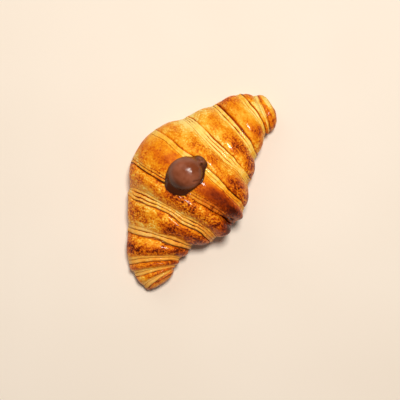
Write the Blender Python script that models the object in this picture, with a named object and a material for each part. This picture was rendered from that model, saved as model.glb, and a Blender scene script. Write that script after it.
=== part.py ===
"""A chocolate hazelnut croissant: the rolled and baked dough, and the spread piped on top.

Frame: +X runs along the croissant from its left horn to its right horn, +Y points to its
rounded outer side (both horns bend towards -Y) and +Z is up. The origin is at the bottom
centre of the bounding box. Lengths are in millimetres, and MM turns them into metres.
"""

import math

import bmesh
import bpy
from mathutils import Vector

MM = 0.001

# The edges of the dough's turns, from the left horn to the right horn: where each edge
# meets the outer outline, where it meets the inner outline, and how far its middle bows
# towards +X. The dough's turns step down from the middle one towards both horns.
EDGES = (
    ((-80.5, -15.5), (-57.5, -25.5), 0.0),
    ((-77.5, -5.0), (-54.5, -25.0), 1.0),
    ((-71.5, 4.5), (-49.5, -25.5), 2.0),
    ((-51.5, 18.0), (-37.0, -28.0), 1.0),
    ((-28.0, 32.5), (-22.5, -38.0), 1.5),
    ((-9.0, 43.0), (-4.0, -44.0), 0.0),
    ((18.0, 42.0), (6.5, -44.0), 3.0),
    ((39.5, 28.5), (25.5, -36.5), 0.5),
    ((59.0, 16.5), (43.5, -30.5), 2.0),
    ((75.0, 6.0), (60.5, -26.5), 2.5),
    ((81.0, -5.0), (64.5, -28.0), 1.0),
)
MIDDLE_TURN = 5  # the edge on the left of the outermost turn; the next edge is on its right

HORN_HEIGHT = 8.0  # crest height = this + HEIGHT_PER_WIDTH * the width between the outlines
HEIGHT_PER_WIDTH = 0.5
WIDEST_LEVEL = 0.40  # level of the widest point, as a share of the crest height
BASE_FLATNESS = 1.28  # the underside is a rounded one this much deeper, cut flat at z = 0
ROUNDNESS = 2.2  # exponent of the section: 2 is an ellipse, more is squarer
CREST_LEAN = 0.22  # the crest leans towards -Y by this share of the half width
LEFT_END = 6.5  # how far the rounded horn ends stand beyond the last edges
RIGHT_END = 10.5
END_ROUNDNESS = 2.4
SWELL = 0.6  # 0 joins the edges' ends with straight outlines, 1 with a full curve

STEP = 2.6  # height of a turn's edge above the next turn, on the widest section
LIP_PROUD = 0.7  # part of STEP that stands above the smooth body
FACE_WIDTH = 1.6  # length of the slanting cut face of an edge, along the body
WIDEST = 88.0

COLUMNS = 48  # points around a section
TURN_ROWS = (0.10, 0.24, 0.45, 0.70, 0.90)  # rows between a turn's crease and its lip
MIDDLE_ROWS = (0.08, 0.28, 0.5, 0.72, 0.92)  # rows between the two lips of the middle turn
END_ROWS = (0.30, 0.55, 0.75, 0.90)

DOLLOP_OUTLINE = (  # the spread's outline seen from above, anticlockwise, with a tip at +X
    (24.5, 1.0), (19.0, 8.5), (12.5, 14.5), (4.5, 17.5), (-3.5, 17.0), (-9.0, 13.5),
    (-12.5, 8.0), (-11.5, 1.0), (-7.5, -4.5), (-1.0, -7.5), (6.5, -9.5), (13.5, -7.5), (20.0, -4.0),
)
DOLLOP_PEAK = (4.5, 3.5)
DOLLOP_HEIGHT = 12.5  # above the crust under its peak
DOLLOP_ROOT = 8.0  # how deep the uncut blob reaches below the crust
DOLLOP_RINGS = 7
GAP = 0.3  # clearance between the spread and the crust

CRUST = (0.72, 0.33, 0.05, 1.0)
CHOCOLATE = (0.13, 0.045, 0.02, 1.0)


def between(values, place):
    """The value at a place along the edges (0 is the first): part straight line, part curve."""
    last = len(values) - 1
    index = min(max(math.floor(place), 0), last - 1)
    part = place - index
    before, start, end, after = (values[min(max(index + i, 0), last)] for i in (-1, 0, 1, 2))
    bend = 2 * before - 5 * start + 4 * end - after
    twist = 3 * (start - end) + after - before
    curved = start + 0.5 * part * (end - before + part * (bend + part * twist))
    straight = start + part * (end - start)
    return straight + SWELL * (curved - straight)


BACKS = [Vector((*back, 0)) for back, front, bow in EDGES]
FRONTS = [Vector((*front, 0)) for back, front, bow in EDGES]
BOWS = [bow for back, front, bow in EDGES]


def section_ring(place, relief, shrink=1.0, advance=0.0, grow=0.0):
    """One closed section through the dough: a dome on a flat base, as points in millimetres.

    relief moves the crust out of the smooth body, shrink and advance round off a horn's end,
    and grow offsets the whole surface.
    """
    back = between(BACKS, place)
    front = between(FRONTS, place)
    middle = (back + front) / 2
    half = (back - front) / 2
    width = 2 * half.length
    across = half.normalized()
    along = Vector((across.y, -across.x, 0))
    height = HORN_HEIGHT + HEIGHT_PER_WIDTH * width
    level = WIDEST_LEVEL * height
    ring = []
    for column in range(COLUMNS):
        angle = 2 * math.pi * column / COLUMNS
        c, s = math.cos(angle), math.sin(angle)
        y = math.copysign(abs(c) ** (2 / ROUNDNESS), c)
        z = math.copysign(abs(s) ** (2 / ROUNDNESS), s)
        reach = (height - level) if z > 0 else level * BASE_FLATNESS
        lean = CREST_LEAN * half.length * max(z, 0) ** 1.5
        out_y, out_z = c / half.length, s / reach
        steepness = math.hypot(out_y, out_z)
        offset = relief * (1 if z > 0 else max(0.0, 1 + z)) + grow
        spread = shrink * (half.length * y - lean) + offset * out_y / steepness
        rise = level + shrink * reach * z + offset * out_z / steepness
        bow = between(BOWS, place) * (1 - y * y)
        point = middle + across * spread + along * (bow + advance)
        point.z = max(rise, -grow)
        ring.append(point)
    return ring


def crust_rows():
    """(place, relief) of every section between the two horn ends, from left to right."""
    rows = []
    last = len(EDGES) - 1
    for index in range(len(EDGES)):
        width = (BACKS[index] - FRONTS[index]).length
        step = STEP * math.sqrt(width / WIDEST)
        lip = LIP_PROUD * step / STEP
        face = FACE_WIDTH / mean_spacing(index)
        left_side = index <= MIDDLE_TURN
        crease_row = (index + (-face / 2 if left_side else face / 2), lip - step)
        lip_row = (index + (face / 2 if left_side else -face / 2), lip)
        rows += [crease_row, lip_row] if left_side else [lip_row, crease_row]
        if index < last:
            rows += turn_rows(index, face, step, lip)
    return rows


def mean_spacing(index):
    """Distance along the body from an edge to its neighbours, in millimetres per edge."""
    low, high = max(index - 1, 0), min(index + 1, len(EDGES) - 1)
    span = (BACKS[high] + FRONTS[high] - BACKS[low] - FRONTS[low]) / 2
    return span.length / (high - low)


def turn_rows(index, face, step, lip):
    """The rows on one turn's own surface, which rises out of its crease and swells."""
    room = 1 - 1.5 * face
    if index == MIDDLE_TURN:
        return [(index + 0.75 * face + room * t, lip * (1 + 0.8 * math.sin(math.pi * t))) for t in MIDDLE_ROWS]
    rows = []
    for t in TURN_ROWS:
        rise = 1 - (1 - t) ** 4
        relief = lip - step + step * rise + 0.5 * lip * math.sin(math.pi * t)
        left_side = index < MIDDLE_TURN
        rows.append((index + 0.75 * face + room * (1 - t if left_side else t), relief))
    return sorted(rows)


def dough_mesh(name, grow=0.0):
    """The whole body as rings joined into one closed surface, grown outwards by grow."""
    def end_rings(place, length):
        rings = []
        for t in END_ROWS:
            shrink = (1 - t**END_ROUNDNESS) ** (1 / END_ROUNDNESS)
            rings.append(section_ring(place, LIP_PROUD - STEP / 2, shrink, length * t, grow))
        return rings

    rows = crust_rows()
    rings = end_rings(rows[0][0], -LEFT_END)[::-1]
    rings += [section_ring(place, relief, grow=grow) for place, relief in rows]
    rings += end_rings(rows[-1][0], RIGHT_END)
    mesh = bmesh.new()
    loops = [[mesh.verts.new(point * MM) for point in ring] for ring in rings]
    for ring, following in zip(loops, loops[1:]):
        for i in range(COLUMNS):
            j = (i + 1) % COLUMNS
            mesh.faces.new((ring[i], following[i], following[j], ring[j]))
    for ring, length in ((loops[0], -LEFT_END), (loops[-1], RIGHT_END)):
        close_end(mesh, ring, length)
    bmesh.ops.remove_doubles(mesh, verts=mesh.verts, dist=0.00001)
    bmesh.ops.recalc_face_normals(mesh, faces=mesh.faces)
    data = bpy.data.meshes.new(name)
    mesh.to_mesh(data)
    mesh.free()
    return data


def close_end(mesh, ring, length):
    """Closes a horn's end with a fan around a point pushed out of the last ring."""
    middle = sum((vert.co for vert in ring), Vector()) / len(ring)
    across = ring[0].co - ring[COLUMNS // 2].co
    outward = Vector((across.y, -across.x, 0)).normalized() * math.copysign(1, length)
    pole = mesh.verts.new(middle + outward * abs(length) * (1 - END_ROWS[-1]) * MM)
    for i in range(COLUMNS):
        mesh.faces.new((ring[i], ring[(i + 1) % COLUMNS], pole))


def material(name, colour, roughness):
    made = bpy.data.materials.new(name)
    made.use_nodes = True
    shader = made.node_tree.nodes["Principled BSDF"]
    shader.inputs["Base Color"].default_value = colour
    shader.inputs["Roughness"].default_value = roughness
    shader.inputs["Metallic"].default_value = 0.0
    return made


def add_object(name, data, finish):
    made = bpy.data.objects.new(name, data)
    bpy.context.scene.collection.objects.link(made)
    data.materials.append(finish)
    data.shade_smooth()
    return made


def dollop_blob(crest):
    """The spread as a closed rounded blob around crest, the crust's top under its peak."""
    centre = Vector((*DOLLOP_PEAK, 0))
    mesh = bmesh.new()
    rings = []
    for side, reach in ((1, DOLLOP_HEIGHT), (-1, DOLLOP_ROOT)):
        for ring in range(DOLLOP_RINGS) if side > 0 else range(1, DOLLOP_RINGS):
            angle = math.pi / 2 * ring / DOLLOP_RINGS
            level = crest + side * reach * math.sin(angle)
            points = [centre + (Vector((*p, 0)) - centre) * math.cos(angle) for p in DOLLOP_OUTLINE]
            verts = [mesh.verts.new(Vector((p.x, p.y, level)) * MM) for p in points]
            rings.append((side * ring, verts))
    rings = [verts for order, verts in sorted(rings, key=lambda pair: pair[0])]
    count = len(DOLLOP_OUTLINE)
    for ring, following in zip(rings, rings[1:]):
        for i in range(count):
            j = (i + 1) % count
            mesh.faces.new((ring[i], ring[j], following[j], following[i]))
    for ring, level in ((rings[0], crest - DOLLOP_ROOT), (rings[-1], crest + DOLLOP_HEIGHT)):
        pole = mesh.verts.new(Vector((centre.x, centre.y, level)) * MM)
        for i in range(count):
            mesh.faces.new((ring[i], ring[(i + 1) % count], pole))
    bmesh.ops.recalc_face_normals(mesh, faces=mesh.faces)
    data = bpy.data.meshes.new("chocolate_dollop")
    mesh.to_mesh(data)
    mesh.free()
    return data


def centre_on_origin(data, others):
    """Moves all meshes so that the first one's bounding box is centred on the Z axis."""
    xs = [vert.co.x for vert in data.vertices]
    ys = [vert.co.y for vert in data.vertices]
    shift = Vector((-(min(xs) + max(xs)) / 2, -(min(ys) + max(ys)) / 2, 0))
    for each in (data, *others):
        for vert in each.vertices:
            vert.co += shift


def clear_scene():
    for old in list(bpy.data.objects):
        bpy.data.objects.remove(old)


def main():
    clear_scene()
    crust = dough_mesh("baked_dough")
    crest = max(vert.co.z for vert in crust.vertices) / MM
    cutter_mesh = dough_mesh("crust_cutter", GAP)
    blob = dollop_blob(crest - 2.0)
    centre_on_origin(crust, (cutter_mesh, blob))
    add_object("baked_dough", crust, material("crust", CRUST, 0.35))
    dollop = add_object("chocolate_dollop", blob, material("chocolate", CHOCOLATE, 0.3))
    cutter = add_object("crust_cutter", cutter_mesh, material("cutter", CRUST, 0.5))
    cutter.hide_render = True
    cutter.display_type = "WIRE"
    rounding = dollop.modifiers.new("rounding", "SUBSURF")
    rounding.levels = 1
    rounding.render_levels = 1
    cut = dollop.modifiers.new("rest_on_crust", "BOOLEAN")
    cut.operation = "DIFFERENCE"
    cut.object = cutter
    cut.solver = "EXACT"


main()
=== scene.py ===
import math

import bpy
import numpy as np
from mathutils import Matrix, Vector, kdtree
from mathutils.bvhtree import BVHTree


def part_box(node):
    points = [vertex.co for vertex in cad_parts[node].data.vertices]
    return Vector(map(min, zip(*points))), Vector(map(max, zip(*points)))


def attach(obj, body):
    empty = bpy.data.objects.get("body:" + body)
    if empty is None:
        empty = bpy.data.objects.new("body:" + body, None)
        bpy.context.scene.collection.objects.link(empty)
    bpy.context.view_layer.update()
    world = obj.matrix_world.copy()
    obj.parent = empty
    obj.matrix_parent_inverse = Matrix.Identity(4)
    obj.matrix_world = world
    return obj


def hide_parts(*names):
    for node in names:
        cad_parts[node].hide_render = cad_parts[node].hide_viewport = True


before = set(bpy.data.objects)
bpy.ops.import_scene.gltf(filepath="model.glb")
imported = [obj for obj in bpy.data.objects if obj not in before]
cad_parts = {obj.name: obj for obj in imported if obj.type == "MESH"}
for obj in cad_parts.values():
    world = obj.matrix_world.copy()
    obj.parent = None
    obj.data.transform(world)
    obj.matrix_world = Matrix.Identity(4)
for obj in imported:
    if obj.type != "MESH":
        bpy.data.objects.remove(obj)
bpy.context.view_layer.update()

# The looks of a chocolate hazelnut croissant: a fine mesh of its crust, with the stepped and
# layered edges of the dough's turns, and of the spread piped on top. Lengths are in millimetres
# and MM turns them into metres. +X runs from the left horn to the right horn, both horns bend
# towards -Y, and the croissant rests on z = 0.

MM = 0.001

# ---------------------------------------------------------------- the dough's body

# The edges of the dough's turns, close to those of the CAD model: where each meets the outer
# outline, where it meets the inner outline, and how far its middle bows towards +X. Then, for the
# looks: the width of the cut face that shows at the edge, its height above the next turn, its
# layers, how pale it is and how dark the lines in it are.
EDGES = (
    ((-80.5, -15.5), (-57.5, -25.5), 0.0, 5.0, 1.8, 2, 0.8, 0.9),
    ((-77.5, -5.0), (-55.2, -25.8), 1.0, 5.6, 2.2, 2, 0.9, 0.95),
    ((-71.5, 4.5), (-49.4, -25.8), 2.0, 6.0, 2.8, 2, 0.9, 1.0),
    ((-51.5, 18.0), (-38.0, -28.2), 1.0, 6.4, 3.6, 2, 0.8, 1.15),
    ((-28.0, 32.5), (-22.5, -38.0), 1.5, 7.0, 3.8, 3, 0.6, 1.1),
    ((-9.0, 43.0), (-4.0, -44.0), 0.0, 4.2, 3.4, 2, 0.3, 1.0),
    ((18.0, 42.0), (6.5, -44.0), 3.0, 4.6, 3.2, 2, 0.8, 1.5),
    ((39.5, 28.5), (25.5, -36.5), 0.5, 6.0, 3.4, 3, 1.0, 1.3),
    ((59.0, 16.5), (43.5, -30.5), 2.0, 5.4, 3.4, 2, 0.95, 1.3),
    ((75.0, 6.0), (60.5, -26.5), 2.5, 4.6, 2.6, 2, 0.75, 0.9),
    ((81.0, -5.0), (64.5, -28.0), 1.0, 3.6, 1.6, 1, 0.6, 0.7),
)
BACKS, FRONTS, BOWS, FACE_WIDTHS, STEPS, LAYERS, PALENESS, DARKNESS = (
    np.array(column, float) for column in zip(*EDGES)
)
MIDDLE_TURN = 5  # the edge on the left of the outermost turn; the next edge is on its right

HORN_HEIGHT = 8.0  # crest height = this + HEIGHT_PER_WIDTH * the width between the outlines
HEIGHT_PER_WIDTH = 0.5
WIDEST_LEVEL = 0.40  # level of the widest point, as a share of the crest height
BASE_FLATNESS = 1.28  # the underside is a rounded one this much deeper, cut flat at z = 0
ROUNDNESS = 2.2  # exponent of the section: 2 is an ellipse, more is squarer
CREST_LEAN = 0.22  # the crest leans towards -Y by this share of the half width
LEFT_END = 5.4  # how far the rounded horn ends stand beyond the last edges
RIGHT_END = 9.5
END_ROUNDNESS = 2.3  # exponent of their rounding
END_SINK = 1.6  # how deep the grooves of a horn end's spiral lie below an edge's lip
END_RIDGE = 0.55  # how high the ridges between them are
SWELL = 0.6  # 0 joins the edges' ends with straight outlines, 1 with a full curve
LIP_PROUD = 0.7  # how far an edge's lip stands above the smooth body
FLANK_RELIEF = 0.14  # the share of the relief that is left where the croissant is widest
TURN_PUFF = 1.1  # how far a turn swells above its lip, as a share of half its step
CAVITY = 1.8  # how much deeper the middle turn's left edge gets towards its front end
GROOVE_PHASE = 0.34  # where the groove at the foot of a layer lies, 0 to 1 from layer to layer

TOP_COLUMNS = 156  # points over the top of a section, and under it
LOW_COLUMNS = 72
LAYER_ROWS = 8  # rows over each layer of an edge, over each turn, and round each horn's end
TURN_ROWS = 15
END_RINGS = 18
END_TURNS = 3.2  # turns of the spiral on a horn's end
LINE_GAP = 2.4  # distance between the faint lines beside an edge
GRAIN_LENGTH = 14.0  # mean distance between edges, for the grain that runs along the turns
GRAIN_STRETCH = 0.2  # size of the grain along the croissant, as a share of that round it

# ---------------------------------------------------------------- noise

LATTICE = np.random.default_rng(11).random((32, 32, 32))
CORNERS = [(i, j, k) for i in (0, 1) for j in (0, 1) for k in (0, 1)]


def noise(points, size, seed=0):
    """Smooth noise from -1 to 1 at points (..., 3), with lumps about size across."""
    spots = points / size + 7.31 * seed + 100
    cells = np.floor(spots).astype(int)
    part = spots - cells
    part = part * part * (3 - 2 * part)
    total = 0
    for corner in CORNERS:
        weight = np.prod(np.where(corner, part, 1 - part), axis=-1)
        i, j, k = np.moveaxis((cells + corner) % len(LATTICE), -1, 0)
        total = total + weight * LATTICE[i, j, k]
    return 2 * total - 1


def hump(distance, width):
    """1 at distance 0, falling smoothly to 0 over about twice the width."""
    return np.exp(-((distance / width) ** 2))


def away(points, middle, radii=(1, 1)):
    """How far points are from a middle, seen from above, as a share of the radii."""
    return np.linalg.norm((points[..., :2] - np.array(middle)) / np.array(radii), axis=-1)


# ---------------------------------------------------------------- crust surface


def along_edges(values, place):
    """The values at places along the edges (0 is the first): part straight line, part curve."""
    last = len(values) - 1
    index = np.clip(np.floor(place).astype(int), 0, last - 1)
    part = place - index
    if values.ndim > 1:
        part = part[:, None]
    before, start, end, after = (values[np.clip(index + i, 0, last)] for i in (-1, 0, 1, 2))
    bend = 2 * before - 5 * start + 4 * end - after
    twist = 3 * (start - end) + after - before
    curved = start + 0.5 * part * (end - before + part * (bend + part * twist))
    straight = start + part * (end - start)
    return straight + SWELL * (curved - straight)


def column_angles():
    top = np.linspace(0, math.pi, TOP_COLUMNS, endpoint=False)
    low = np.linspace(math.pi, 2 * math.pi, LOW_COLUMNS, endpoint=False)
    return np.concatenate([top, low])


def sections(place, relief=0.0, drift=0.0, shrink=1.0):
    """Points (rows, columns, 3) of the sections at these places.

    relief moves the crust out of the smooth body, drift along the croissant, and shrink makes
    the section smaller, to round off a horn's end.
    """
    angles = column_angles()
    c, s = np.cos(angles), np.sin(angles)
    y = np.copysign(np.abs(c) ** (2 / ROUNDNESS), c)
    z = np.copysign(np.abs(s) ** (2 / ROUNDNESS), s)
    back, front = along_edges(BACKS, place), along_edges(FRONTS, place)
    half = np.linalg.norm(back - front, axis=1)[:, None] / 2
    across = (back - front) / (2 * half)
    along = np.stack([across[:, 1], -across[:, 0]], axis=1)
    height = HORN_HEIGHT + HEIGHT_PER_WIDTH * 2 * half
    level = WIDEST_LEVEL * height
    reach = np.where(z > 0, height - level, level * BASE_FLATNESS)
    lean = CREST_LEAN * half * np.maximum(z, 0) ** 1.5
    out_y, out_z = c / half, s / reach
    steepness = np.hypot(out_y, out_z)
    rise_in = np.clip(z / 0.55, 0, 1)
    upper_share = FLANK_RELIEF + (1 - FLANK_RELIEF) * rise_in * (2 - rise_in)
    offset = relief * np.where(z > 0, upper_share, FLANK_RELIEF * (1 + z))
    spread = shrink * (half * y - lean) + offset * out_y / steepness
    rise = level + shrink * reach * z + offset * out_z / steepness
    slide = along_edges(BOWS, place)[:, None] * (1 - y * y) + drift
    flat = ((back + front) / 2)[:, None, :] + across[:, None, :] * spread[..., None]
    flat = flat + along[:, None, :] * slide[..., None]
    return np.concatenate([flat, np.maximum(rise, 0)[..., None]], axis=-1)


def row_plan():
    """One (place, edge, face, turn) for each section between the horn ends, from left to right.

    edge is the one whose crease lowers the row, face is 0 at the bottom and 1 at the lip of an
    edge's stack of layers and -1 elsewhere, and turn is 0 at a turn's crease and 1 at its lip.
    """
    plan = []
    for index in range(len(EDGES)):
        left_side = index <= MIDDLE_TURN
        rows = int(LAYERS[index]) * LAYER_ROWS
        for row in range(rows + 1):
            face = row / rows
            plan.append((index, index, face if left_side else 1 - face, 0.0))
        if index == len(EDGES) - 1:
            break
        for row in range(1, TURN_ROWS + 1):
            even = row / (TURN_ROWS + 1)
            part = even - 0.55 * math.sin(2 * math.pi * even) / (2 * math.pi)
            crease = index if index > MIDDLE_TURN else index + 1
            turn = part if index > MIDDLE_TURN else 1 - part
            plan.append((index + part, crease, -1.0, turn))
    return [np.array(column) for column in zip(*plan)]


def edge_shapes():
    """Per edge and column: the layers' total width, their height, the wobble, unevenness, gap."""
    lines = sections(np.arange(len(EDGES), dtype=float))
    gaps = np.linalg.norm(np.diff(lines, axis=0), axis=2)
    room = np.minimum(np.vstack([gaps, gaps[-1:]]), np.vstack([gaps[:1], gaps]))
    ragged = noise(lines, 11, 1)
    width = FACE_WIDTHS[:, None] * (1 + 0.3 * ragged)
    width = np.minimum(width, 0.55 * room)
    step = STEPS[:, None] * (1 + 0.3 * noise(lines, 16, 2))
    step = np.minimum(step, 0.45 * room + 0.3)
    step[MIDDLE_TURN] *= 1 + CAVITY * np.clip((-25 - lines[MIDDLE_TURN, :, 1]) / 12, 0, 1)
    wobble = np.minimum(1, room / 9) * (0.9 * noise(lines, 14, 3) + 0.25 * noise(lines, 3.2, 4))
    return width, step, wobble, ragged, gaps


def crust_grid():
    """The crust as (rows, columns, 3) points, what the material needs to know of each, and the
    relief and drift of the first and the last row."""
    place, edge, face, turn = row_plan()
    edge = edge.astype(int)
    width, step, wobble, ragged, gaps = edge_shapes()
    on_face = (face >= 0)[:, None]
    left_side = (np.arange(len(EDGES)) <= MIDDLE_TURN)[:, None]
    off_base = np.clip(1 + 2.5 * np.sin(column_angles()), 0, 1)
    tuck = (0.12 * width + 0.3) * off_base  # how far an edge's layers are undercut
    lower = np.where(left_side, -1, 1)  # the side of the edge on which the next turn lies
    index = np.clip(np.floor(place).astype(int), 0, len(EDGES) - 2)
    index = np.where(face >= 0, edge, index)
    part = np.where(face >= 0, 0.0, place - index)[:, None]
    after = np.minimum(index + 1, len(EDGES) - 1)

    # Where the surface starts to the right of one edge and ends to the left of the next.
    start = np.where(left_side, width / 2, width / 2 - tuck) + wobble
    end = np.where(left_side, tuck - width / 2, -width / 2) + wobble
    turn_drift = start[index] * (1 - part) ** 3 + end[after] * part**3

    # Up the layers of an edge: stairs with a groove at the foot of each, over an undercut.
    f = face[:, None]
    layers = LAYERS[index][:, None]
    lamella = layers * f + 0.25 * ragged[index] * np.sin(math.pi * np.clip(f, 0, 1))
    stair = 0.8 * np.sin(2 * math.pi * lamella) / (2 * math.pi * layers)
    climb = np.clip(f - stair, 0, 1)
    back_off = np.clip(f + stair, 0, 1)
    groove = hump(lamella % 1 - GROOVE_PHASE, 0.12) * np.minimum(0.8, 0.2 * width[index])
    foot = hump(f, 0.08)
    face_drift = lower[index] * (width[index] * (0.5 - back_off) - tuck[index] * foot) + wobble[index]
    face_relief = LIP_PROUD - step[index] * (1 - climb + 0.3 * foot) - groove

    # Over a turn, which comes up out of its crease and swells.
    middle = ((place > MIDDLE_TURN) & (place < MIDDLE_TURN + 1))[:, None]
    t = turn[:, None]
    puff = TURN_PUFF * np.where(middle, np.sin(math.pi * part), np.sin(math.pi * t**0.8))
    fall = np.where(middle, 0, (1 - t) ** 2.4 + 0.3 * hump(t, 0.035))
    turn_relief = LIP_PROUD + puff * step[edge] / 2 - step[edge] * fall

    relief = np.where(on_face, face_relief, turn_relief)
    drift = np.where(on_face, face_drift, turn_drift)
    points = sections(np.where(face >= 0, edge, place).astype(float), relief, drift)

    gap = gaps[np.minimum(index, len(gaps) - 1)]
    from_lip = np.where(middle, np.minimum(part, 1 - part), 1 - t) * gap
    from_crease = np.where(middle, gap, t * gap)
    # Beside an edge, its lines count on from the two layers that most edges have.
    beside = np.where(from_lip < from_crease, 2 + from_lip / LINE_GAP, -from_crease / LINE_GAP)
    near_lip, near_crease = 0.9 * hump(from_lip, 1.9), 0.5 * hump(from_crease, 1.2)
    right_side = place > MIDDLE_TURN + 0.5
    lip_edge = np.where(face >= 0, edge, np.where(right_side, after, index))
    crease_edge = np.where(face >= 0, edge, np.where(right_side, index, after))
    lip_pale, crease_pale = PALENESS[lip_edge][:, None], PALENESS[crease_edge][:, None]
    lip_dark, crease_dark = DARKNESS[lip_edge][:, None], DARKNESS[crease_edge][:, None]
    beside_pale = np.maximum(lip_pale * near_lip, crease_pale * near_crease)
    beside_dark = 0.7 * np.maximum(lip_dark * near_lip, crease_dark * near_crease)
    marks = {
        "cut": np.where(on_face, lip_pale, beside_pale),
        "line": np.where(on_face, lip_dark, beside_dark),
        "lamella": np.where(on_face, lamella, beside),
        # crease: where the crust gets painted shade, at the foot of an edge's layers and in a turn's
        # crease
        "crease": np.where(on_face, hump(f, 0.12), hump(from_crease, 0.8)),
        "turn": np.where(on_face, 1.0, np.where(middle, 0.5 + np.abs(part - 0.5), t)),
        "place": place[:, None],
    }
    marks = {key: np.broadcast_to(mark, points.shape[:2]) for key, mark in marks.items()}
    return points, marks, [(relief[row], drift[row]) for row in (0, -1)]


def end_cap(place, length, joint):
    """Rings that round off a horn's end past its last edge, rolled up in a spiral of layers.

    joint is the relief and the drift of the row that they carry on from.
    """
    parts = np.sin(math.pi / 2 * np.arange(1, END_RINGS + 1) / (END_RINGS + 0.6))
    shrink = (1 - parts**END_ROUNDNESS) ** (1 / END_ROUNDNESS)
    turns = column_angles() / (2 * math.pi)
    spiral = END_TURNS * shrink[:, None] + turns[None, :]
    ridge = END_RIDGE * np.abs(np.sin(math.pi * spiral)) ** 0.7
    joined = (1 - parts[:, None]) ** 3
    relief = joined * joint[0] + (1 - joined) * (LIP_PROUD - END_SINK + ridge)
    drift = joint[1] + (length - joint[1]) * parts[:, None]
    points = sections(np.full(END_RINGS, place), relief, drift, shrink[:, None])
    return points, spiral


def whole_crust():
    """The grid with its two rounded ends, from the left end to the right one."""
    points, marks, joints = crust_grid()
    last = len(EDGES) - 1.0
    for place, length, joint in ((0.0, -LEFT_END, joints[0]), (last, RIGHT_END, joints[1])):
        cap, spiral = end_cap(place, length, joint)
        left = length < 0
        shape = spiral.shape
        cap_marks = {
            "cut": np.full(shape, 0.5 if left else 0.75),
            "line": np.full(shape, 0.6),
            "lamella": spiral,
            # painted shade in the crease beside the last edge
            "crease": 0.3 * hump(np.arange(END_RINGS)[:, None] * np.ones(shape), 1.2),
            "turn": np.full(shape, 0.5),
            "place": np.full(shape, place + (-0.5 if left else 0.5)),
        }
        parts = (cap[::-1], points) if left else (points, cap)
        points = np.concatenate(parts)
        for key, mark in cap_marks.items():
            parts = (mark[::-1], marks[key]) if left else (marks[key], mark)
            marks[key] = np.concatenate(parts)
    return points, marks


def grain_coordinates(points, marks):
    """Distance along the croissant and round its section from the crest, in millimetres."""
    round_steps = np.linalg.norm(points - np.roll(points, 1, axis=1), axis=2)
    distance = np.cumsum(round_steps, axis=1)
    crest = TOP_COLUMNS // 2
    distance = distance - distance[:, crest : crest + 1]
    whole = round_steps.sum(axis=1, keepdims=True)
    distance = np.where(distance > whole / 2, distance - whole, distance)
    lengthwise = marks["place"] * GRAIN_LENGTH
    return np.stack([lengthwise, GRAIN_STRETCH * distance, np.zeros_like(distance)], axis=-1)


def grid_normals(points):
    """Outward unit normals of the crust's grid, whose columns run round it."""
    down_rows = np.gradient(points, axis=0)
    round_columns = np.roll(points, -1, axis=1) - np.roll(points, 1, axis=1)
    normals = np.cross(down_rows, round_columns)
    lengths = np.linalg.norm(normals, axis=2, keepdims=True)
    return normals / np.maximum(lengths, 1e-9)


# ---------------------------------------------------------------- unevenness, browning and painted shade

# Places where the crust is painted darker (above 0) or paler (below 0): middle, radii, amount. The dark
# ones in the cavity at the middle turn's front end and under the right horn's end are painted shade.
TONE_AND_SHADE_SPOTS = (
    ((2, -21), (8, 16), 0.25),
    # painted shade in the dark cavity at the middle turn's front end
    ((-7, -41), (7, 5), 0.50),
    ((-4, -9), (6, 6), 0.06),
    ((-17, -17), (7, 9), -0.12),
    ((-12, -26), (4, 9), -0.22),
    ((-36, -10), (8, 8), 0.22),
    ((-38, -22), (9, 7), 0.20),
    ((-56, -16), (6, 5), 0.12),
    ((-46, 2), (5, 8), -0.06),
    ((-62, 7), (7, 6), 0.04),
    ((-12, 30), (4, 7), 0.08),
    ((-18, 16), (8, 10), -0.14),
    ((-46, 14), (8, 6), -0.12),
    ((-38, 4), (8, 6), -0.18),
    ((-20, -8), (6, 8), -0.16),
    ((20, -24), (5, 6), -0.16),
    ((-62, 5), (5, 5), 0.10),
    ((40, -24), (9, 6), -0.10),
    ((19, -32), (5, 7), 0.10),
    ((60, -20), (6, 5), 0.20),
    ((22, 8), (6, 8), -0.06),
    # this one and the next: painted shade under the right horn's end
    ((80, -26), (4, 4), 0.40),
    ((73, -29), (5, 4), 0.45),
    ((-73, -22), (6, 5), -0.10),
    ((-80, -12), (6, 10), -0.12),
    ((-62, -22), (7, 5), -0.14),
    ((30, 22), (9, 11), -0.30),
    ((48, 18), (8, 8), -0.22),
    ((80, -14), (7, 7), -0.30),
    ((-68, -13), (9, 8), -0.16),
    ((74, -12), (9, 11), -0.20),
    ((0, 38), (8, 6), -0.08),
)
SHADED_BROWNER_SIDE = (-0.45, -0.9)  # the croissant is painted darker towards this side: partly browning, partly painted shade away from the light
SMOOTH_MIDDLE = (3, -26)  # the skin of the middle turn is smooth here, within about these radii
SMOOTH_RADII = (6, 18)
BLISTER_SEED = 5
BLISTERS = 1500
BLISTER_RADII = (0.7, 2.6)
RING_BLISTER = (4.0, 37.0)  # one that burst and left a ring
RING_RADIUS = 2.2


def blisters(points, normals, marks):
    """Height and centre-ness of small blisters in the glaze: (heights, tops)."""
    random = np.random.default_rng(BLISTER_SEED)
    flat = points.reshape(-1, 3)
    tree = kdtree.KDTree(len(flat))
    for i, point in enumerate(flat):
        tree.insert(point, i)
    tree.balance()
    upper = (flat[:, 2] > 8) & (marks["cut"].ravel() < 0.1) & (marks["crease"].ravel() < 0.05)
    crowd = np.where(upper, np.clip(0.35 + noise(flat, 17, 9), 0, 1) ** 2, 0)
    crowd = crowd * (normals.reshape(-1, 3)[:, 2] > -0.1)
    spots = random.choice(len(flat), BLISTERS, p=crowd / crowd.sum())
    heights = np.zeros(len(flat))
    tops = np.zeros(len(flat))
    for spot in spots:
        radius = BLISTER_RADII[0] + (BLISTER_RADII[1] - BLISTER_RADII[0]) * random.random() ** 3
        height = radius * random.uniform(0.12, 0.24)
        for _, i, distance in tree.find_range(flat[spot], radius * 1.3):
            dome = max(0.0, 1 - (distance / radius) ** 2)
            heights[i] = max(heights[i], height * dome**0.7)
            tops[i] = max(tops[i], dome)
    return heights.reshape(points.shape[:2]), tops.reshape(points.shape[:2])


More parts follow.
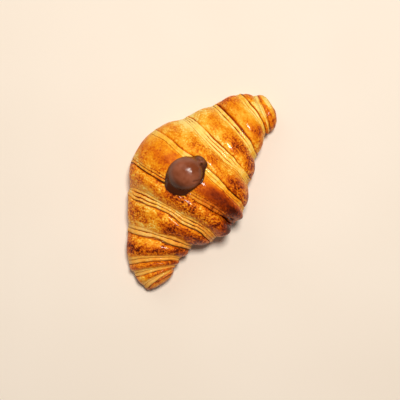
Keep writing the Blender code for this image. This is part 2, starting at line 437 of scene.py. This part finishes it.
def bake_crust(points, marks):
    """Adds the crust's unevenness. Returns the points, and for each of them, from 0 to 1, its
    browning with painted shade, how calm that browning is and how much egg wash it got."""
    normals = grid_normals(points)
    grain = points * np.array([1.0, 0.22, 0.22])  # longer along a turn than across it
    bubbles, tops = blisters(points, normals, marks)
    smooth_skin = hump(away(points, SMOOTH_MIDDLE, SMOOTH_RADII), 1)
    calm = np.clip(1.2 * smooth_skin + 0.9 * np.clip(noise(points, 24, 15) + 0.1, 0, 1), 0, 1)
    quiet = np.clip(1 - marks["cut"] - 0.7 * smooth_skin, 0, 1)
    wrinkles = noise(grain, 1.7, 5) * np.clip(0.4 + noise(points, 21, 6), 0, 1)
    lumps = 0.7 * noise(points, 19, 7) + 0.3 * noise(points, 8, 8)
    from_ring = away(points, RING_BLISTER) - RING_RADIUS
    ring = 0.5 * hump(from_ring, 0.55) * (points[..., 2] > 10)
    height = lumps + ring + quiet * (0.22 * wrinkles + bubbles + 0.10 * noise(points, 2.6, 10))
    above = np.clip(points[..., 2] / 5, 0, 1)
    moved = points + normals * (height * above)[..., None]
    moved[..., 2] = np.maximum(moved[..., 2], 0)

    # Darker towards the side away from the light: partly browning, partly painted shade.
    side = (points[..., :2] @ np.array(SHADED_BROWNER_SIDE)) / 60
    browning_and_shade = 0.46 + 0.19 * side - 0.06 * np.clip(-points[..., 0] / 30, 0, 1)
    browning_and_shade = browning_and_shade + 0.14 * noise(points, 15, 12) + 0.11 * noise(points, 6, 13)
    browning_and_shade = browning_and_shade + 0.08 * noise(grain, 2.2, 14)
    browning_and_shade = browning_and_shade + 0.12 * tops + 0.24 * np.sin(math.pi * np.clip(marks["turn"], 0, 1)) ** 2 - 0.15
    for middle, radii, amount in TONE_AND_SHADE_SPOTS:
        browning_and_shade = browning_and_shade + amount * hump(away(points, middle, radii), 1.1)
    # Near the base: painted shade on the side away from the light, partly browning, and a little paler
    # on the other side.
    low_shade_and_browning = 0.5 * np.clip(0.2 + side, 0, 1) - 0.08
    browning_and_shade = browning_and_shade + low_shade_and_browning * np.clip(1 - points[..., 2] / 17, 0, 1)
    wash = np.clip(0.2 + 1.3 * normals[..., 2], 0.15, 1)  # the egg wash was brushed on from above
    return moved, {"browning_and_shade": np.clip(browning_and_shade, 0, 1), "calm": calm, "wash": wash}


# ---------------------------------------------------------------- meshes


def grid_mesh(name, points, attributes):
    """A closed mesh from rings of points, with a fan over each end and an attribute per point."""
    rings, count = points.shape[:2]
    ends = points[0].mean(axis=0), points[-1].mean(axis=0)
    verts = np.concatenate([points.reshape(-1, 3), np.array(ends)]) * MM
    first_pole, last_pole = rings * count, rings * count + 1
    i, j = np.meshgrid(np.arange(rings - 1), np.arange(count), indexing="ij")
    k = (j + 1) % count
    quads = np.stack([i * count + j, i * count + k, (i + 1) * count + k, (i + 1) * count + j], axis=-1)
    faces = quads.reshape(-1, 4).tolist()
    for j in range(count):
        k = (j + 1) % count
        faces.append((first_pole, k, j))
        faces.append((last_pole, (rings - 1) * count + j, (rings - 1) * count + k))
    mesh = bpy.data.meshes.new(name)
    mesh.from_pydata(verts.tolist(), [], faces)
    for key, values in attributes.items():
        flat = np.asarray(values, np.float32).reshape(rings * count, -1)
        poles = [flat[:count].mean(axis=0), flat[-count:].mean(axis=0)]
        filled = np.concatenate([flat, poles]).astype(np.float32).ravel()
        if values.ndim == 3:
            mesh.attributes.new(key, "FLOAT_VECTOR", "POINT").data.foreach_set("vector", filled)
        else:
            mesh.attributes.new(key, "FLOAT", "POINT").data.foreach_set("value", filled)
    mesh.shade_smooth()
    return mesh


def add_piece(name, mesh, material, node):
    """Puts a finished mesh in the scene in place of a CAD node."""
    piece = bpy.data.objects.new(name, mesh)
    bpy.context.scene.collection.objects.link(piece)
    mesh.materials.append(material)
    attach(piece, "root")
    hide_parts(node)
    return piece


# ---------------------------------------------------------------- the spread

DOLLOP_OUTLINE = np.array((  # seen from above, anticlockwise from the side of its piped end
    (14.5, -5.5), (18.0, -4.8), (20.0, -2.0), (20.6, 1.8), (19.8, 4.6), (16.8, 7.4), (14.4, 11.0),
    (10.6, 14.2), (6.5, 16.0), (1.8, 16.6), (-2.4, 15.8), (-6.5, 14.2), (-9.8, 12.5), (-11.8, 9.5),
    (-12.0, 5.8), (-11.0, 1.2), (-8.3, -3.4), (-5.0, -4.8), (-1.6, -6.2), (2.6, -7.4), (6.0, -8.6),
    (10.0, -7.6),
))
DOLLOP_MIDDLE = np.array((4.8, 5.0))
DOLLOP_COLUMNS = 240
DOLLOP_RINGS = 130
UNDER_RINGS = 18
UNDER_REACH = 0.98  # how far out the underside goes, as a share of the outline
GROUND_BLUR = 12  # columns on each side over which the crust around the foot is evened out
DOLLOP_SINK = 0.25  # the rim lies this far in the crust's glaze
PAINTED_SHADE_HEIGHT = 8.0  # painted shade: the spread is darker below this height
PAINTED_SHADE_FROM_X = -0.5  # and painted darker to the left of this x, away from the light
RIM_HEIGHT = 0.8  # above the crust, where the dollop is widest
SHELF_HEIGHT = 2.2  # of the flat foot that shows beside the bulb, above the rim
BULB_RADIUS = 12.4
BULB_FOOT = 1.4
BULB_HEIGHT = 8.8
BULB_LEAN = np.array((0.010, -0.010))  # its top leans this way
KNOT = np.array((17.0, 0.8))  # the piped end, a small wrinkled lump
KNOT_RADIUS = 4.4
KNOT_HEIGHT = 5.6
KNOT_TAIL = np.array((-2.5, -2.5))  # its wrinkles run on into the bulb's side this way
FOLD = np.array(((3.0, -3.6), (7.0, -7.4)))  # a crease in the bulb's side, from end to end
SOFTNESS = 0.8  # rounds the valleys where the shelf, the bulb and the knot meet


def rounded(points, count):
    """A closed Catmull-Rom curve through points, as count points."""
    place = np.arange(count) * len(points) / count
    index = np.floor(place).astype(int)
    part = (place - index)[:, None]
    before, start, end, after = (points[(index + i) % len(points)] for i in (-1, 0, 1, 2))
    bend = 2 * before - 5 * start + 4 * end - after
    twist = 3 * (start - end) + after - before
    return start + 0.5 * part * (end - before + part * (bend + part * twist))


def rim_radii():
    """Distance from the middle to the outline in equally spaced directions, (columns,)."""
    fine = rounded(DOLLOP_OUTLINE, 12 * DOLLOP_COLUMNS) - DOLLOP_MIDDLE
    angles = np.unwrap(np.arctan2(fine[:, 1], fine[:, 0]))
    directions = np.linspace(0, 2 * math.pi, DOLLOP_COLUMNS, endpoint=False)
    return directions, np.interp(directions, angles, np.linalg.norm(fine, axis=1), period=2 * math.pi)


def dollop_heights(flat, reach):
    """How far the spread stands above the crust at points seen from above, (n,)."""
    def dome(middle, radius):
        return np.sqrt(np.clip(1 - away(flat, middle, (radius, radius)) ** 2, 0, 1))

    shelf = RIM_HEIGHT + SHELF_HEIGHT * np.sqrt(np.clip(1 - reach**5, 0, 1)) + np.zeros(len(flat))
    lean = 1 + (flat - DOLLOP_MIDDLE) @ BULB_LEAN
    bulb = BULB_FOOT + BULB_HEIGHT * lean * dome(DOLLOP_MIDDLE, BULB_RADIUS)
    deep = np.column_stack([flat, np.zeros(len(flat))])
    knot_dome = dome(KNOT, KNOT_RADIUS)
    wrinkles = 1.5 * noise(deep, 2.4, 31) + 1.0 * noise(deep, 1.3, 32)
    knot = KNOT_HEIGHT * knot_dome + np.sqrt(knot_dome) * wrinkles
    height = SOFTNESS * np.log(sum(np.exp(part / SOFTNESS) for part in (shelf, bulb, knot)))
    start, end = FOLD
    part = np.clip((flat - start) @ (end - start) / ((end - start) @ (end - start)), 0, 1)
    fold = np.linalg.norm(flat - start - part[:, None] * (end - start), axis=1)
    soft = np.clip((1 - reach) * 4, 0, 1)
    near_knot = hump(away(flat - KNOT, KNOT_TAIL), KNOT_RADIUS)
    uneven = 0.35 * noise(deep, 7, 33) + (0.12 + 0.5 * near_knot) * noise(deep, 2.4, 34)
    return height + soft * (uneven - 1.3 * hump(fold, 0.7))


def dollop_points(crust_tree, shift):
    """Rings from the spread's underside, out round its rim and up to its top, and their painted shade.
    """
    directions, rim = rim_radii()
    ways = np.stack([np.cos(directions), np.sin(directions)], axis=1)

    def spots(reach):
        """Where a ring lies seen from above: the outline at reach 1, a circle near 0."""
        blend = reach**2
        return DOLLOP_MIDDLE + ways * (reach * (rim * blend + BULB_RADIUS * (1 - blend)))[:, None]

    def crust_height(places):
        down = Vector((0, 0, -1))
        hits = [crust_tree.ray_cast(Vector((x * MM, y * MM, 1.0)), down)[0] for x, y in places + shift]
        return np.array([hit.z / MM for hit in hits])

    ground = crust_height(spots(UNDER_REACH))
    turns = range(-GROUND_BLUR, GROUND_BLUR + 1)
    smooth_ground = sum(np.roll(ground, k) for k in turns) / len(turns)
    top_ground = crust_height(DOLLOP_MIDDLE[None, :])[0]
    rings, painted_shades = [], []
    for reach in np.linspace(0.05, UNDER_REACH, UNDER_RINGS):
        flat = spots(reach)
        rings.append(np.column_stack([flat + shift, crust_height(flat) - DOLLOP_SINK]))
        painted_shades.append(np.ones(DOLLOP_COLUMNS))
    for part in (0.25, 0.5, 0.75):
        flat = spots(UNDER_REACH + (1 - UNDER_REACH) * math.sin(math.pi / 2 * part))
        rise = (RIM_HEIGHT + DOLLOP_SINK) * part
        rings.append(np.column_stack([flat + shift, ground - DOLLOP_SINK + rise]))
        painted_shades.append(np.ones(DOLLOP_COLUMNS))
    for angle in np.linspace(0, math.pi / 2, DOLLOP_RINGS)[:-1]:
        reach = math.cos(angle) ** 0.7
        flat = spots(reach)
        base = top_ground + (smooth_ground - top_ground) * reach**3
        base = base + (ground - smooth_ground) * reach**14
        height = dollop_heights(flat, reach)
        rings.append(np.column_stack([flat + shift, base + height]))
        # Painted shade: darker near the spread's foot and towards its left side, away from the light.
        painted_side_shade = 0.9 * np.clip((PAINTED_SHADE_FROM_X - flat[:, 0]) / 8, 0, 1)
        painted_shades.append(np.clip((PAINTED_SHADE_HEIGHT - height) / 6 + painted_side_shade, 0, 1))
    # The foot attribute carries this painted shade.
    return np.array(rings), {"foot": np.array(painted_shades)}


# ---------------------------------------------------------------- materials


def linear(red, green, blue):
    """A colour given in sRGB from 0 to 255, as Blender's linear colour."""
    values = [c / 255 for c in (red, green, blue)]
    return (*((v / 12.92 if v <= 0.04045 else ((v + 0.055) / 1.055) ** 2.4) for v in values), 1.0)


class Nodes:
    """Adds nodes to a new material, each fed by plain values or by other nodes' outputs."""

    def __init__(self, name):
        self.material = bpy.data.materials.new(name)
        self.material.use_nodes = True
        self.tree = self.material.node_tree
        self.shader = self.tree.nodes["Principled BSDF"]

    def feed(self, socket, value):
        if isinstance(value, bpy.types.NodeSocket):
            self.tree.links.new(value, socket)
        else:
            socket.default_value = value

    def add(self, kind, inputs=None, output=0, **settings):
        node = self.tree.nodes.new(kind)
        for key, value in settings.items():
            setattr(node, key, value)
        for key, value in (inputs or {}).items():
            self.feed(node.inputs[key], value)
        return node.outputs[output]

    def math(self, operation, first, second=0.0, third=0.0):
        inputs = {0: first, 1: second, 2: third}
        return self.add("ShaderNodeMath", inputs, operation=operation)

    def noise(self, coordinates, scale, detail=3.0, roughness=0.6, distortion=0.0):
        inputs = {
            "Vector": coordinates, "Scale": scale, "Detail": detail,
            "Roughness": roughness, "Distortion": distortion,
        }
        return self.add("ShaderNodeTexNoise", inputs)

    def mark(self, name):
        return self.add("ShaderNodeAttribute", {}, "Fac", attribute_name=name)

    def ramp(self, factor, stops):
        output = self.add("ShaderNodeValToRGB", {"Fac": factor})
        elements = output.node.color_ramp.elements
        while len(elements) < len(stops):
            elements.new(0.5)
        for element, (position, colour) in zip(elements, stops):
            element.position = position
            element.color = colour
        return output

    def stretch(self, value, low, high):
        """The value scaled so that low turns into 0 and high into 1, and kept between them."""
        return self.add("ShaderNodeMapRange", {"Value": value, "From Min": low, "From Max": high})

    def mix(self, factor, first, second):
        output = self.add("ShaderNodeMix", {}, 2, data_type="RGBA")
        for socket, value in zip((0, 6, 7), (factor, first, second)):
            self.feed(output.node.inputs[socket], value)
        return output

    def finish(self, **inputs):
        for key, value in inputs.items():
            self.feed(self.shader.inputs[key.replace("_", " ")], value)
        return self.material


CRUST_TONES = (
    (0.0, linear(255, 225, 128)),
    (0.14, linear(254, 192, 62)),
    (0.34, linear(244, 150, 16)),
    (0.54, linear(222, 106, 5)),
    (0.72, linear(180, 68, 2)),
    (0.88, linear(126, 38, 0)),
    (1.0, linear(70, 17, 0)),
)
BLACK, WHITE = (0, 0, 0, 1), (1, 1, 1, 1)
GROOVE = ((0.0, BLACK), (0.18, BLACK), (GROOVE_PHASE, WHITE), (0.50, BLACK))
PALE_TONE = 0.02  # the browning of dough that was cut
CUT_TAN = linear(240, 162, 78)  # its colour on the croissant's left half
UNDER_TONES = ((0.3, linear(196, 122, 44)), (0.7, linear(144, 76, 22)))  # the dry underside


def crust_material():
    """Egg-washed crust: mottled golden to brown, with pale layers where the dough was cut."""
    n = Nodes("crust")
    place = n.add("ShaderNodeTexCoord", {}, "Object")
    grain = n.add("ShaderNodeAttribute", {}, "Vector", attribute_name="grain")
    ragged = n.stretch(n.noise(grain, 1.6, 4, 0.65), 0.3, 0.7)
    cut = n.math("MULTIPLY_ADD", n.math("SUBTRACT", ragged, 0.5), 0.5, n.mark("cut"))
    cut = n.stretch(cut, 0.12, 1.0)

    # Mottled browning: fine grain in sponge-like areas, specks, patches and streaks along a turn.
    fine = n.stretch(n.noise(place, 760, 5, 0.72), 0.36, 0.64)
    patches = n.stretch(n.noise(place, 240, 5, 0.7, 0.8), 0.34, 0.66)
    streaks = n.stretch(n.noise(grain, 0.9, 4, 0.7), 0.36, 0.66)
    spots = {"Vector": place, "Scale": 430, "Randomness": 1.0}
    specks = n.stretch(n.add("ShaderNodeTexVoronoi", spots, "Distance"), 0.42, 0.12)
    speckled = n.stretch(n.noise(place, 60, 2), 0.46, 0.62)
    sponge = n.math("MULTIPLY_ADD", n.stretch(n.noise(place, 42, 2), 0.4, 0.6), 0.5, 0.22)
    specks = n.math("MULTIPLY", n.math("MULTIPLY", specks, speckled), 0.42)
    mottle = n.math("MULTIPLY_ADD", fine, sponge, specks)
    mottle = n.math("MULTIPLY_ADD", patches, 0.4, mottle)
    mottle = n.math("MULTIPLY_ADD", streaks, 0.3, mottle)
    mottle = n.math("SUBTRACT", mottle, 0.56)
    lively = n.math("MULTIPLY_ADD", n.mark("calm"), -0.78, 1.0)
    browning_and_shade = n.math("MULTIPLY_ADD", mottle, lively, n.mark("browning_and_shade"))

    # The layers beside and in an edge: pale where the dough was cut, brown in the grooves. Adding
    # 0.82 makes up for the noise's mean, so that the brown lines lie in the grooves.
    patchy = n.stretch(n.noise(grain, 0.16, 3, 0.6), 0.3, 0.6)
    pale = n.math("MULTIPLY", cut, n.math("MULTIPLY_ADD", patchy, 0.5, 0.42))
    browning_and_shade = n.math("MULTIPLY_ADD", n.math("SUBTRACT", PALE_TONE, browning_and_shade), pale, browning_and_shade)
    waver = n.math("MULTIPLY_ADD", n.noise(place, 300, 3), 0.36, n.mark("lamella"))
    line = n.ramp(n.math("FRACT", n.math("ADD", waver, 0.82)), GROOVE)
    line = n.math("MULTIPLY", line, n.mark("line"))
    strength = n.math("MULTIPLY_ADD", n.stretch(n.noise(grain, 0.3, 3), 0.35, 0.6), 0.5, 0.5)
    browning_and_shade = n.math("MULTIPLY_ADD", line, strength, browning_and_shade)
    # Painted shade in the creases.
    browning_and_shade = n.math("MULTIPLY_ADD", n.mark("crease"), 0.75, browning_and_shade)
    colour = n.ramp(browning_and_shade, CRUST_TONES)
    tan = n.math("MULTIPLY", n.math("MULTIPLY", pale, n.math("SUBTRACT", 1.0, line)), n.mark("tan"))
    colour = n.mix(tan, colour, CUT_TAN)
    under = n.mark("under")
    colour = n.mix(under, colour, n.ramp(n.noise(place, 180, 5, 0.7), UNDER_TONES))

    gloss = n.add("ShaderNodeMapRange", {"Value": patches, "To Min": 0.26, "To Max": 0.5})
    gloss = n.math("MULTIPLY_ADD", cut, 0.15, gloss)
    gloss = n.math("MULTIPLY_ADD", under, 0.35, gloss)
    cells = {"Vector": place, "Scale": 560}
    to_crack = n.add("ShaderNodeTexVoronoi", cells, "Distance", feature="DISTANCE_TO_EDGE")
    cracks = n.stretch(to_crack, 0.0, 0.12)
    relief = n.math("MULTIPLY_ADD", cracks, 0.3, fine)
    relief = n.math("MULTIPLY_ADD", patches, 0.8, relief)
    bump = n.add("ShaderNodeBump", {"Strength": 0.45, "Distance": 0.0004, "Height": relief})
    glaze = n.noise(place, 340, 3, 0.6)
    glaze_bump = n.add("ShaderNodeBump", {"Strength": 0.2, "Distance": 0.0004, "Height": glaze})
    return n.finish(
        Base_Color=colour, Roughness=gloss, Normal=bump, Coat_Normal=glaze_bump, Specular_IOR_Level=0.06,
        Coat_Weight=n.mark("wash"), Coat_Roughness=0.08, Coat_IOR=1.6,
    )


CHOCOLATE_TONES = ((0.36, linear(122, 60, 32)), (0.64, linear(154, 89, 62)))
# The colour of the spread's painted shade, at its foot and on its left side.
CHOCOLATE_PAINTED_SHADE = linear(58, 22, 4)


def chocolate_material():
    """Soft chocolate hazelnut spread, smooth with a dull sheen."""
    n = Nodes("chocolate")
    place = n.add("ShaderNodeTexCoord", {}, "Object")
    cloud = n.noise(place, 75, 3)
    # foot: how much painted shade the spread gets, at its foot and on its left side.
    foot = n.mark("foot")
    colour = n.ramp(cloud, CHOCOLATE_TONES)
    colour = n.mix(n.math("MULTIPLY", foot, 0.9), colour, CHOCOLATE_PAINTED_SHADE)
    fine = n.noise(place, 1500, 3)
    rough = n.add("ShaderNodeMapRange", {"Value": fine, "To Min": 0.18, "To Max": 0.3})
    ripples = n.noise(place, 420, 2)
    bump = n.add("ShaderNodeBump", {"Strength": 0.12, "Distance": 0.0003, "Height": ripples})
    return n.finish(Base_Color=colour, Roughness=rough, Normal=bump, Specular_IOR_Level=0.24)


def floor_material():
    n = Nodes("floor")
    place = n.add("ShaderNodeTexCoord", {}, "Object")
    colour = n.ramp(n.noise(place, 6, 2), ((0.3, linear(240, 226, 210)), (0.7, linear(243, 230, 215))))
    return n.finish(Base_Color=colour, Roughness=0.8)


# ---------------------------------------------------------------- stage

VIEW_TURN = math.radians(-56)  # the picture's right is +X turned by this about Z
VIEW_MIDDLE = (-6.7, -13.0)
VIEW_WIDTH = 288.0
VIEW_LEVEL = 25.0  # VIEW_WIDTH is measured at this height
LENS = 85.0
SENSOR = 36.0
FLOOR_SIDE = 6.0  # in metres, as the lights' distances and sizes are
LIGHTS = (  # name, direction from the croissant, distance, size, power in watts
    ("key", (0.8, 0.16, 3.6), 1.2, 0.25, 13.2),
    ("fill", (0.4, 0.9, 1.0), 1.4, 1.0, 2.2),
)
LIGHT_COLOUR = (1.0, 0.97, 0.92)
WORLD_COLOUR = (1.0, 0.9, 0.8, 1.0)
WORLD_STRENGTH = 0.12


def add_camera():
    camera = bpy.data.objects.new("camera", bpy.data.cameras.new("camera"))
    camera.data.lens = LENS
    camera.data.sensor_width = SENSOR
    distance = VIEW_WIDTH * LENS / SENSOR
    camera.location = Vector((*VIEW_MIDDLE, VIEW_LEVEL + distance)) * MM
    camera.rotation_euler = (0, 0, VIEW_TURN)
    camera.data.clip_start = 0.01
    bpy.context.scene.collection.objects.link(camera)
    bpy.context.scene.camera = camera


def add_light(name, direction, distance, size, power):
    """An area light that shines on the croissant from a direction (x, y, z)."""
    light = bpy.data.lights.new(name, "AREA")
    light.shape = "DISK"
    light.size = size
    light.energy = power
    light.color = LIGHT_COLOUR
    lamp = bpy.data.objects.new(name, light)
    towards = Vector(direction).normalized()
    lamp.location = towards * distance
    lamp.rotation_euler = towards.to_track_quat("Z", "Y").to_euler()
    bpy.context.scene.collection.objects.link(lamp)


def add_stage():
    mesh = bpy.data.meshes.new("floor")
    half = FLOOR_SIDE / 2
    corners = [(-half, -half, 0), (half, -half, 0), (half, half, 0), (-half, half, 0)]
    mesh.from_pydata(corners, [], [(0, 1, 2, 3)])
    mesh.materials.append(floor_material())
    floor = bpy.data.objects.new("floor", mesh)
    bpy.context.scene.collection.objects.link(floor)
    world = bpy.data.worlds.new("studio")
    world.use_nodes = True
    world.node_tree.nodes["Background"].inputs["Color"].default_value = WORLD_COLOUR
    world.node_tree.nodes["Background"].inputs["Strength"].default_value = WORLD_STRENGTH
    bpy.context.scene.world = world
    bpy.context.scene.view_settings.view_transform = "Standard"
    for light in LIGHTS:
        add_light(*light)


# ---------------------------------------------------------------- the croissant

UNDER_LEVEL = 1.5  # the crust turns into the dry underside below this height
TAN_AMOUNT = 0.75  # how tan the cut layers are, which fades over TAN_SPAN about x = 0
TAN_SPAN = 20


def main():
    points, marks = whole_crust()
    points, baking = bake_crust(points, marks)
    low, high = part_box("baked_dough")
    middle = (points.min(axis=(0, 1)) + points.max(axis=(0, 1)))[:2] / 2
    shift = np.array([(low.x + high.x) / 2, (low.y + high.y) / 2]) / MM - middle
    points[..., :2] += shift
    attributes = {**baking, **{key: marks[key] for key in ("cut", "line", "lamella", "crease")}}
    attributes["under"] = np.clip(1 - points[..., 2] / UNDER_LEVEL, 0, 1)
    attributes["tan"] = TAN_AMOUNT * np.clip(0.5 - points[..., 0] / TAN_SPAN, 0, 1)
    attributes["grain"] = grain_coordinates(points, marks)
    mesh = grid_mesh("crust", points, attributes)
    crust = add_piece("crust", mesh, crust_material(), "baked_dough")
    tree = BVHTree.FromObject(crust, bpy.context.evaluated_depsgraph_get())
    spread_mesh = grid_mesh("spread", *dollop_points(tree, shift))
    add_piece("spread", spread_mesh, chocolate_material(), "chocolate_dollop")


main()
add_stage()
add_camera()
